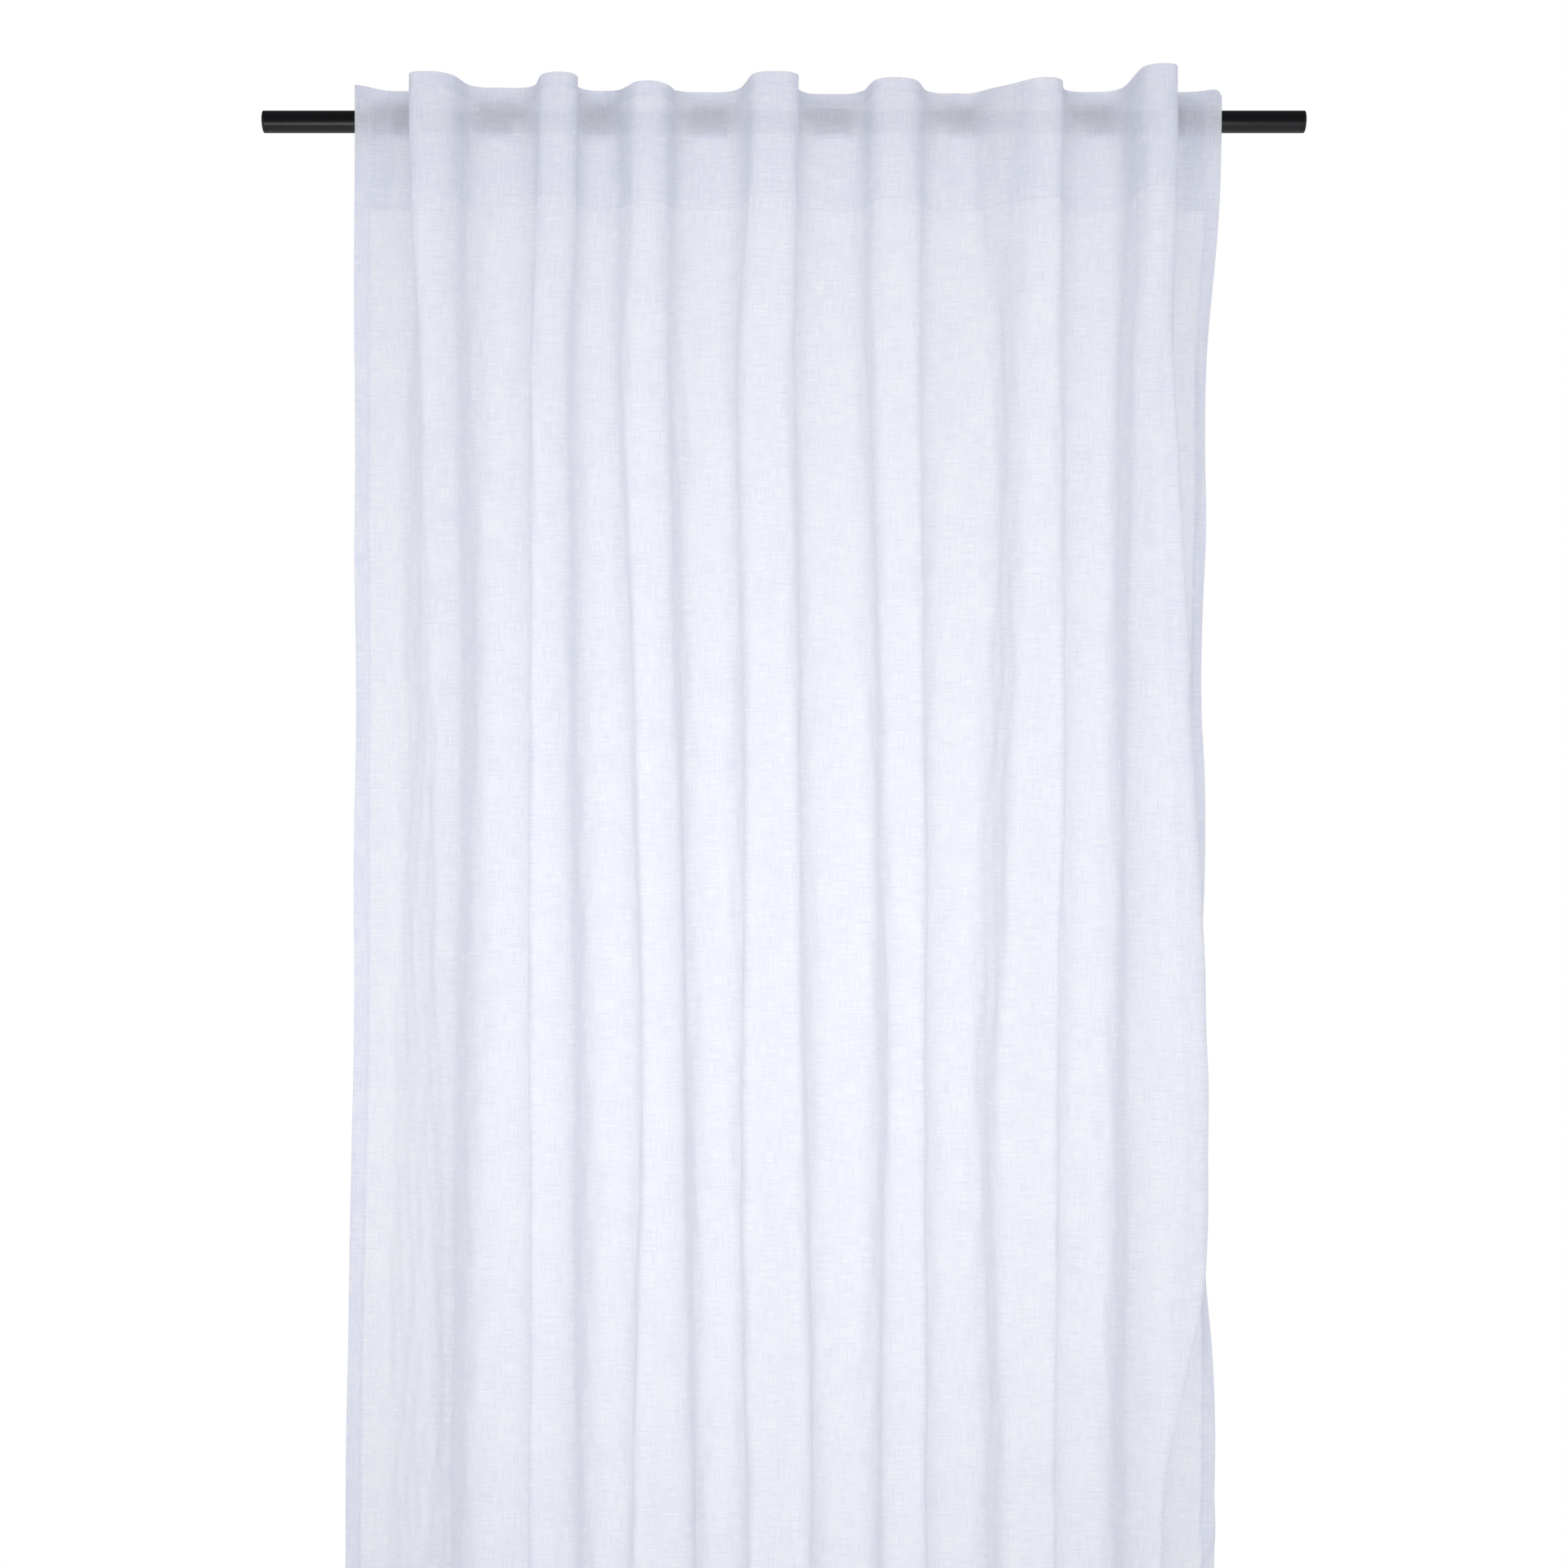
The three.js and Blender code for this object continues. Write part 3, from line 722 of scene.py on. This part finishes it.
class CURTAIN_OT_rod(Operator):
    """Makes the rod tube and the plugs in its two ends"""

    bl_idname = "curtain.rod"
    bl_label = "Rod and plugs"

    def execute(self, context):
        settings = context.scene.curtain_rod
        low, high = [x - ROD.x for x in span("rod_tube", 0)]
        lip, outer, inner = TUBE_LIP, ROD_RADIUS, ROD_RADIUS - TUBE_WALL
        profile = [(low + lip, outer), (high - lip, outer), (high, outer - lip), (high, inner + lip),
                   (high - lip, inner), (low + lip, inner), (low, inner + lip), (low, outer - lip)]
        tube = make_piece("rod_coated_tube", lathe("rod_coated_tube", profile, ROD, settings.turns),
                          "coat")
        sharpen(tube)
        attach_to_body(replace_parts(tube, "rod_tube"), "rod")
        spigot = inner - PLUG_PLAY
        for side, out in (("left", -1), ("right", 1)):
            node = f"rod_plug_{side}"
            low, high = [x - ROD.x for x in span(node, 0)]
            face, inside = (low, high) if out < 0 else (high, low)
            radius = extent(node, 2) / 2
            ring, behind, lead = face - out * PLUG_RING, face - out * PLUG_RIM, inside + out * PLUG_LEAD[0]
            profile = [(face, 0.0), (face, radius * 0.3), (ring, radius * 0.34), (ring, radius * 0.62),
                       (face, radius * 0.66), (face, radius - lip), (face - out * lip, radius),
                       (behind, radius), (behind, spigot), (lead, spigot), (inside, spigot - PLUG_LEAD[1]),
                       (inside, 0.0)]
            plug = make_piece(f"plug_moulded_{side}", lathe(node, profile, ROD, settings.turns),
                              "plastic")
            sharpen(plug)
            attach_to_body(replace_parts(plug, node), "rod")
        return {"FINISHED"}


def sharpen(piece):
    """Stops the smooth shading at corners over 30 degrees."""
    piece.data.set_sharp_from_angle(angle=math.radians(30))


class CURTAIN_OT_brackets(Operator):
    """Rounds the edges of the brackets and screws and gives them their finishes"""

    bl_idname = "curtain.brackets"
    bl_label = "Brackets and screws"

    def execute(self, context):
        width = context.scene.curtain_rod.edge_round
        for side in ("left", "right"):
            for part in ("wall_plate", "bracket_arm", "rod_cradle"):
                refine(f"{part}_{side}", "coat", width)
            refine(f"set_screw_{side}", "zinc", width / 2)
            for place in ("upper", "lower"):
                refine(f"wall_screw_{side}_{place}", "zinc", width / 4)
        return {"FINISHED"}


def refine(node, finish, width):
    """A copy of a CAD node with its triangles joined into whole faces and its edges broken."""
    source = frame["nodes"][node]
    shape = bmesh.new()
    shape.from_mesh(source.data)
    bmesh.ops.remove_doubles(shape, verts=shape.verts, dist=2e-6)
    bmesh.ops.dissolve_limit(shape, angle_limit=math.radians(1), verts=shape.verts, edges=shape.edges)
    piece = make_piece(f"{node}_finished", mesh_of(shape, node), finish)
    rounding = piece.modifiers.new("Broken edges", "BEVEL")
    rounding.width = width
    rounding.segments = 2
    rounding.limit_method = "ANGLE"
    rounding.angle_limit = math.radians(40)
    rounding.use_clamp_overlap = True
    rounding.harden_normals = True
    body = source["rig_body"]
    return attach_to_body(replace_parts(piece, node), body)


class CURTAIN_OT_heading(Operator):
    """Sews the heading tape and the hidden tabs that the rod runs through"""

    bl_idname = "curtain.heading"
    bl_label = "Heading tape and tabs"

    def execute(self, context):
        for k in range(len(TAB_X)):
            self.tab(k)
        gap = context.scene.curtain_cloth.layer_gap
        fold = gap / MM / 2
        for name, start, end, first, last in lengths_of_cloth():
            start, end = max(start, SIDE_HEM), min(end, drape().width - SIDE_HEM)
            along = [(s, 0) for s in steps(start, end, ACROSS)]
            turned = TAPE_END if name.startswith("edge") else 0
            if name == "edge_left":
                along = [(s, 1) for s in steps(start + turned, start, 2)] + [(start - fold, 0.5)] + along
            if name == "edge_right":
                along += [(end + fold, 0.5)] + [(s, 1) for s in steps(end, end - turned, 2)]
            sheet = Sheet([(h, 0) for h in steps(TAPE_TOP, TAPE_FOOT, DOWN_HEADING)], along)
            tape = make_piece(f"tape_{name}", sheet_mesh(f"tape_{name}", sheet, gap, TAPE_BEHIND * MM),
                              "tab" if turned else "tape")
            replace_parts(tape, f"heading_{name}")
            attach(tape, first, last)
        return {"FINISHED"}

    def tab(self, k):
        """One tab: sewn to the tape over and under the rod, and drawn round the rod's back."""
        line = TAB_FRONT + TAB_THICKNESS / 2
        around = ROD_RADIUS / MM + TAB_PLAY + TAB_THICKNESS / 2
        upper, lower = np.array((line, TAB_TOP - TAB_FLAP)), np.array((line, TAB_FOOT + TAB_FLAP))
        touches = []
        for (y, z), way in ((upper, -1), (lower, 1)):
            touches.append(math.atan2(z, y) + way * math.acos(around / math.hypot(y, z)))
        arc = [around * np.array((math.cos(a), math.sin(a))) for a in np.linspace(*touches, 25)]
        path = [(line, z) for z in np.linspace(TAB_TOP, TAB_TOP - TAB_FLAP + 1, 5)]
        path += [upper, *(upper * (1 - t) + arc[0] * t for t in np.linspace(0.12, 0.9, 6)), *arc]
        path += [*(arc[-1] * (1 - t) + lower * t for t in np.linspace(0.1, 0.88, 7)), lower]
        path += [(line, z) for z in np.linspace(TAB_FOOT + TAB_FLAP - 1, TAB_FOOT, 5)]
        path = np.array(path)
        run = np.concatenate(([0], np.cumsum(np.hypot(*np.diff(path, axis=0).T))))
        rows = len(path) - 1
        shape = grid(12, rows)
        layer = shape.loops.layers.uv.new("Cloth")
        for vertex in shape.verts:
            across = vertex.co.x
            row = round((0.5 - vertex.co.y) * rows)
            y, z = path[row]
            for loop in vertex.link_loops:
                loop[layer].uv = (across * TAB_WIDTH * MM, run[row] * MM)
            vertex.co = ROD + Vector((TAB_X[k] + across * TAB_WIDTH, y, z)) * MM
        bmesh.ops.recalc_face_normals(shape, faces=shape.faces)
        name = f"tab_loop_{k + 1}"
        loop_tab = make_piece(name, mesh_of(shape, name), "tab")
        thicken(loop_tab, TAB_THICKNESS)
        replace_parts(loop_tab, f"back_tab_{k + 1}")
        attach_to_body(loop_tab, TABS[k])


class CURTAIN_OT_panel(Operator):
    """Hangs the linen panel with its turned top, side hems and bottom hem"""

    bl_idname = "curtain.panel"
    bl_label = "Linen panel"

    def execute(self, context):
        cloth = context.scene.curtain_cloth
        turned = cloth.turned_top / MM
        fold = cloth.layer_gap / MM / 2
        down = [(h, 1) for h in steps(turned, 0, 4)] + [(-fold, 0.5)]
        down += [(h, 0) for h in steps(0, HEADING_END, DOWN_HEADING)]
        down += [(h, 0) for h in steps(HEADING_END + DOWN_PANEL, DROP, DOWN_PANEL)]
        down += [(DROP + fold, 0.5)] + [(h, 1) for h in steps(DROP, DROP - BOTTOM_HEM, DOWN_PANEL)]
        for name, start, end, first, last in lengths_of_cloth():
            along = [(s, 0) for s in steps(start, end, ACROSS)]
            nodes = [f"panel_{name}", f"hem_{name}"]
            width = end - start
            if name == "edge_left":
                along = [(s, 1) for s in steps(SIDE_HEM, 0, 2)] + [(-fold, 0.5)] + along
            if name == "edge_right":
                along += [(end + fold, 0.5)] + [(s, 1) for s in steps(end, end - SIDE_HEM, 2)]
            if name.startswith("edge"):
                nodes.append(f"side_hem_{name[5:]}")
                width += SIDE_HEM
            mesh = sheet_mesh(f"linen_{name}", Sheet(down, along), cloth.layer_gap)
            piece = make_piece(f"linen_{name}", mesh, "linen")
            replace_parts(piece, *nodes)
            attach(piece, first, last)
        return {"FINISHED"}


class CURTAIN_OT_stitching(Operator):
    """Sews the seams: four rows across the tape and the tabs, the bottom hem and both side hems"""

    bl_idname = "curtain.stitching"
    bl_label = "Stitching"

    def execute(self, context):
        sewing = context.scene.curtain_sewing
        bead = bmesh.new()
        bmesh.ops.create_uvsphere(bead, u_segments=6, v_segments=4, radius=0.5)
        # a stitch is pulled flat, and dips into the cloth at both ends
        size = Vector((sewing.thread, sewing.thread * 0.8, sewing.stitch * 0.86))
        bmesh.ops.scale(bead, vec=size, verts=bead.verts)
        bead = mesh_of(bead, "stitch")
        tab_seam, hem_seam = TOP - (TAB_FOOT + TAB_FLAP), DROP - BOTTOM_HEM + 3
        rows = (TAPE_TOP + SEAM_INSET, tab_seam, TAPE_FOOT - 12, TAPE_FOOT - SEAM_INSET, hem_seam)
        step = sewing.stitch / MM
        for name, start, end, first, last in lengths_of_cloth():
            seams = [[(h, s) for s in np.arange(start + step / 2, end - step / 4, step)] for h in rows]
            if name.startswith("edge"):
                side = SIDE_HEM - SEAM_INSET
                if name == "edge_right":
                    side = drape().width - side
                seams.append([(h, side) for h in np.arange(TAPE_TOP + step, DROP - step, step)])
            turns = np.concatenate([self.seam(np.array(line)) for line in seams])
            mesh = repeated(bead, turns, f"stitches_{name}")
            thread = make_piece(f"stitches_{name}", mesh, "thread")
            attach(thread, first, last)
        return {"FINISHED"}

    def seam(self, line):
        """One seam's stitches as 3 by 4 matrices: across, out and along the cloth, and the middle of each."""
        heights, along = line.T
        point, normal = drape().at(heights, along)
        level = len(set(heights)) == 1
        ahead, _ = drape().at(heights + (0 if level else 0.8), along + (0.8 if level else 0))
        forward = ahead - point
        forward /= np.linalg.norm(forward, axis=-1, keepdims=True)
        side = np.cross(normal, forward)
        return np.stack((side, normal, forward, point + normal * 0.12 * MM), axis=-1)


def repeated(mesh, turns, name):
    """One mesh that holds a copy of a small mesh at each of the 3 by 4 matrices."""
    shape = bmesh.new()
    shape.from_mesh(mesh)
    corners = np.array([tuple(v.co) + (1.0,) for v in shape.verts])
    faces = [[v.index for v in face.verts] for face in shape.faces]
    shape.free()
    points = np.einsum("kij,nj->kni", turns, corners).reshape(-1, 3)
    copies = [[i + k * len(corners) for i in face] for k in range(len(turns)) for face in faces]
    made = bpy.data.meshes.new(name)
    made.from_pydata(points.tolist(), [], copies)
    return made


class CURTAIN_OT_label(Operator):
    """Sews the blank care label behind the left side hem"""

    bl_idname = "curtain.label"
    bl_label = "Care label"

    def execute(self, context):
        low, high = [(Vector(p) - ROD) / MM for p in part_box("care_label")]
        width, height = high.x - low.x, high.z - low.z
        along = (low.x + high.x) / 2 - LEFT_X
        down = TOP - high.z
        shape = grid(6, 20)
        for vertex in shape.verts:
            across, drop = vertex.co.x * width, (0.5 - vertex.co.y)
            point, normal = drape().at(down + drop * height, along + across)
            # its free end curls away from the cloth and twists a little
            curl = LABEL_BEHIND + 2.2 * drop * drop + 0.5 * drop * math.sin(vertex.co.x * 4)
            vertex.co = Vector(point - normal * curl * MM)
        label = make_piece("label_satin_blank", mesh_of(shape, "label_satin_blank"), "satin")
        thicken(label, LABEL_THICKNESS)
        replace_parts(label, "care_label")
        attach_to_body(label, TABS[0])
        return {"FINISHED"}


# ---- the stage: the even light's radiance, the lamps in watts, and places in metres
AMBIENT = 0.61
BACK_LIGHT = 2.9
FRONT_LIGHT = 4.4
RAIL_LIGHT = 3.2
HEADING_LIGHT = 0.6
STRIP_LIGHT = 4.0
PANEL_MIDDLE = ROD + Vector((0.02, 0, -0.88))
CAMERA_PLACE = ROD + Vector((0, -2.0, -0.611))
CAMERA_LENS = 49.76
FLOOR_BELOW_HEM = 0.012


class CURTAIN_OT_stage(Operator):
    """Makes the pale floor, the lamps behind and in front, and the camera"""

    bl_idname = "curtain.stage"
    bl_label = "Floor, light and camera"

    def execute(self, context):
        scene = context.scene
        scene.view_settings.view_transform = "Standard"
        scene.view_settings.look = "None"
        self.floor()
        self.world(scene)
        self.light("daylight_behind", PANEL_MIDDLE, (0, 0.7, 0), (0.6, 1.1), BACK_LIGHT)
        self.light("soft_front", PANEL_MIDDLE, (-0.05, -1.7, -0.25), (1.3, 1.5), FRONT_LIGHT)
        self.light("heading_front", ROD, (0.1, -1.5, 0), (1.3, 0.3), RAIL_LIGHT, mirrored=False)
        self.light("strip_below_front", ROD, (-0.15, -1.2, -0.84), (1.5, 0.12), STRIP_LIGHT)
        self.light("low_sun_behind", ROD, (0, 2.2, 0.02), (0.7, 0.12), HEADING_LIGHT)
        camera = bpy.data.cameras.new("camera")
        camera.lens = CAMERA_LENS
        camera.sensor_width = 36.0
        camera.clip_start = 0.05
        view = add_object("camera", camera)
        view.location = CAMERA_PLACE
        view.rotation_euler = (math.radians(90), 0, 0)
        scene.camera = view
        return {"FINISHED"}

    def floor(self):
        """A round, pale, matt floor just under the hem."""
        shape = bmesh.new()
        under = Matrix.Translation(ROD + Vector((0, 0, BOTTOM * MM - FLOOR_BELOW_HEM)))
        bmesh.ops.create_circle(shape, cap_ends=True, radius=2.0, segments=96, matrix=under)
        floor = add_object("floor", mesh_of(shape, "floor"))
        material, tree, output = empty_material("matt_studio_floor")
        surface = add(tree, "ShaderNodeBsdfPrincipled", {"Base Color": colour("#e9e9ea"), "Roughness": 0.9})
        tree.links.new(surface.outputs[0], output.inputs["Surface"])
        floor.data.materials.append(material)
        floor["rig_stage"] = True

    def world(self, scene):
        """A white backdrop, an even and slightly cool light on the cloth, and a dim room in reflections."""
        scene.world = bpy.data.worlds.new("studio")
        scene.world.use_nodes = True
        tree = scene.world.node_tree
        tree.nodes.clear()
        output = add(tree, "ShaderNodeOutputWorld")
        seen = add(tree, "ShaderNodeBackground", {"Color": (1, 1, 1, 1), "Strength": 1.0})
        ambient = add(tree, "ShaderNodeBackground", {"Color": (0.9, 0.93, 1, 1), "Strength": AMBIENT})
        way = add(tree, "ShaderNodeSeparateXYZ", {0: add(tree, "ShaderNodeTexCoord").outputs["Generated"]})
        room = remapped(tree, way.outputs["Z"], (-0.1, -0.7), (0.1, 0.75))
        mirrored = add(tree, "ShaderNodeBackground", {"Color": (0.95, 0.97, 1, 1), "Strength": room})
        path = add(tree, "ShaderNodeLightPath")
        lit = add(tree, "ShaderNodeMixShader",
                  {0: path.outputs["Is Glossy Ray"], 1: ambient.outputs[0], 2: mirrored.outputs[0]})
        mix = add(tree, "ShaderNodeMixShader",
                  {0: path.outputs["Is Camera Ray"], 1: lit.outputs[0], 2: seen.outputs[0]})
        tree.links.new(mix.outputs[0], output.inputs["Surface"])

    def light(self, name, target, away, size, power, mirrored=True):
        """A soft light, away from its target. The camera doesn't see it, and gloss only if it is mirrored."""
        lamp = bpy.data.lights.new(name, "AREA")
        lamp.color = (1.0, 0.99, 0.98)
        lamp.shape = "RECTANGLE"
        lamp.size, lamp.size_y = size
        lamp.energy = power
        holder = add_object(name, lamp)
        holder.location = target + Vector(away)
        holder.rotation_euler = (target - holder.location).to_track_quat("-Z", "Y").to_euler()
        holder.visible_camera = False
        holder.visible_glossy = mirrored


class CURTAIN_PT_panel(Panel):
    """Lists the curtain's pieces in the order they are made"""

    bl_label = "Curtain"
    bl_space_type = "VIEW_3D"
    bl_region_type = "UI"
    bl_category = "Curtain"

    def draw(self, context):
        for kind in OPERATORS:
            self.layout.operator(kind.bl_idname)
        for group in SETTINGS:
            settings = getattr(context.scene, group)
            for name in settings.__annotations__:
                self.layout.prop(settings, name)


OPERATORS = (
    CURTAIN_OT_rod,
    CURTAIN_OT_brackets,
    CURTAIN_OT_heading,
    CURTAIN_OT_panel,
    CURTAIN_OT_stitching,
    CURTAIN_OT_label,
    CURTAIN_OT_stage,
)
SETTINGS = {"curtain_cloth": CurtainCloth, "curtain_rod": CurtainRod, "curtain_sewing": CurtainSewing}


def register():
    for kind in (*SETTINGS.values(), *OPERATORS, CURTAIN_PT_panel):
        bpy.utils.register_class(kind)
    for name, kind in SETTINGS.items():
        setattr(bpy.types.Scene, name, PointerProperty(type=kind))


def unregister():
    for name in SETTINGS:
        delattr(bpy.types.Scene, name)
    for kind in reversed((*SETTINGS.values(), *OPERATORS, CURTAIN_PT_panel)):
        bpy.utils.unregister_class(kind)


def main():
    """Makes every piece."""
    register()
    for kind in OPERATORS:
        group, call = kind.bl_idname.split(".")
        getattr(getattr(bpy.ops, group), call)()
    boxes = {"cad": FRAME_BOX, "visual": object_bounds()}
    {name: [list(corner) for corner in box] for name, box in boxes.items()}


if __name__ == "__main__":
    main()
